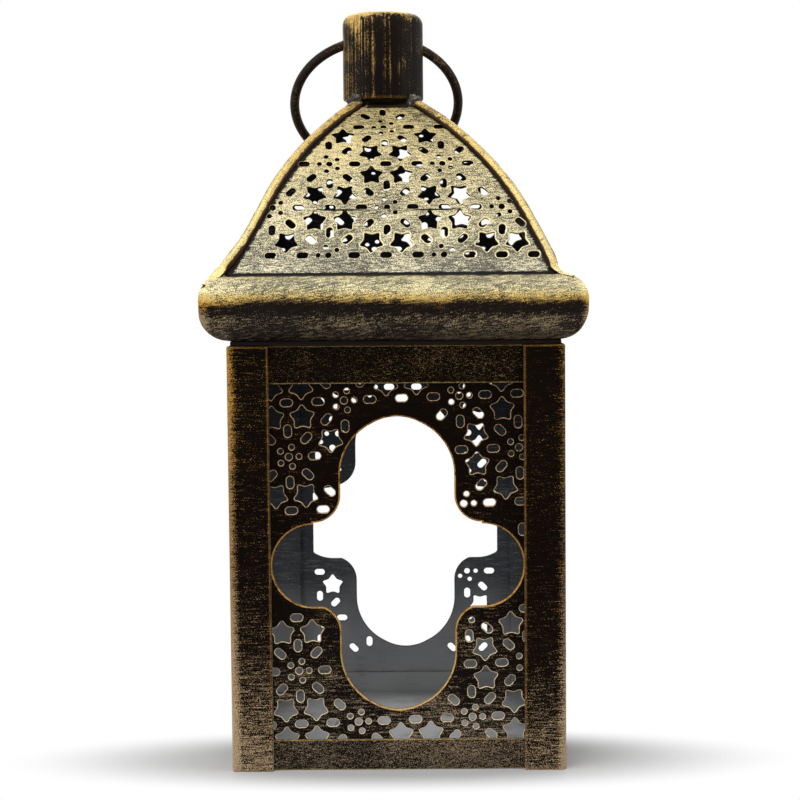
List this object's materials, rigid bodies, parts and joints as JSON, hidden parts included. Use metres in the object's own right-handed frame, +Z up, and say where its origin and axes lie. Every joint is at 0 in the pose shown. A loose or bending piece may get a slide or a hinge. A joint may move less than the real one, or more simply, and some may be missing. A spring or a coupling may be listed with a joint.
{
  "type": "pierced metal candle lantern",
  "caption": "Square pierced-sheet candle lantern with four-lobed windows, hinged back door, pavilion roof, round cap and swinging carrying ring.",
  "frame": {"origin": "centre of the flat underside, on the surface that the lantern stands on", "axes": "+Z up along the lantern's axis, -Y out of the front window, +Y out of the hinged door, +X to the right seen from the front"},
  "size_m": [0.102, 0.102, 0.2068],
  "materials": {
    "posts": "black-brown paint brushed with old gold",
    "rails": "black-brown paint brushed with old gold",
    "wall_sheet": "dark brown paint with fine gold brush marks and gold cut edges",
    "door_sheet": "dark brown paint with fine gold brush marks and gold cut edges",
    "door_frame": "black-brown paint brushed with old gold",
    "fittings": "old gold paint, rubbed",
    "floor": "dark grey paint",
    "crown": "black paint",
    "cornice": "old gold brushed over black-brown paint",
    "roof_sheet": "old gold brushed over grey-black paint",
    "hip_beads": "old gold brushed over brown paint",
    "saddle": "black paint with grey solder",
    "cap": "black-brown paint with upright gold brush marks",
    "ring": "dark brown paint on steel wire"
  },
  "bodies": {
    "lantern": {"bottom_rail_back": "rails", "bottom_rail_front": "rails", "bottom_rail_left": "rails", "bottom_rail_right": "rails", "cap": "cap", "cap_saddle": "saddle", "cornice_back": "cornice", "cornice_front": "cornice", "cornice_left": "cornice", "cornice_right": "cornice", "crown_frame": "crown", "floor_pan": "floor", "hinge_lower_pin": "fittings", "hinge_lower_post_leaf": "fittings", "hinge_upper_pin": "fittings", "hinge_upper_post_leaf": "fittings", "hip_bead_back_left": "hip_beads", "hip_bead_back_right": "hip_beads", "hip_bead_front_left": "hip_beads", "hip_bead_front_right": "hip_beads", "latch_rivet": "fittings", "latch_washer": "fittings", "panel_front": "wall_sheet", "panel_left": "wall_sheet", "panel_right": "wall_sheet", "post_back_left": "posts", "post_back_right": "posts", "post_front_left": "posts", "post_front_right": "posts", "roof_panel_back": "roof_sheet", "roof_panel_front": "roof_sheet", "roof_panel_left": "roof_sheet", "roof_panel_right": "roof_sheet", "top_rail_back": "rails", "top_rail_front": "rails", "top_rail_left": "rails", "top_rail_right": "rails"},
    "door": {"door_panel": "door_sheet", "door_frame": "door_frame", "door_knob": "fittings", "hinge_upper_door_leaf": "fittings", "hinge_lower_door_leaf": "fittings"},
    "latch": {"latch_button": "fittings"},
    "carrying_ring": {"ring": "ring"}
  },
  "joints": [
    {"name": "ring_swing", "type": "hinge", "parent": "lantern", "child": "carrying_ring", "pos_m": [-0.0041, 0, 0.1977], "axis": [0.9922, 0.113, -0.0523], "range_deg": [0, 268]},
    {"name": "door_hinge", "type": "hinge", "parent": "lantern", "child": "door", "pos_m": [0.0337, 0.04695, 0.056], "axis": [0, 0, -1], "range_deg": [0, 180]},
    {"name": "latch_turn", "type": "hinge", "parent": "lantern", "child": "latch", "pos_m": [-0.03945, 0.0459, 0.072], "axis": [0, -1, 0], "range_deg": [0, 90]}
  ]
}
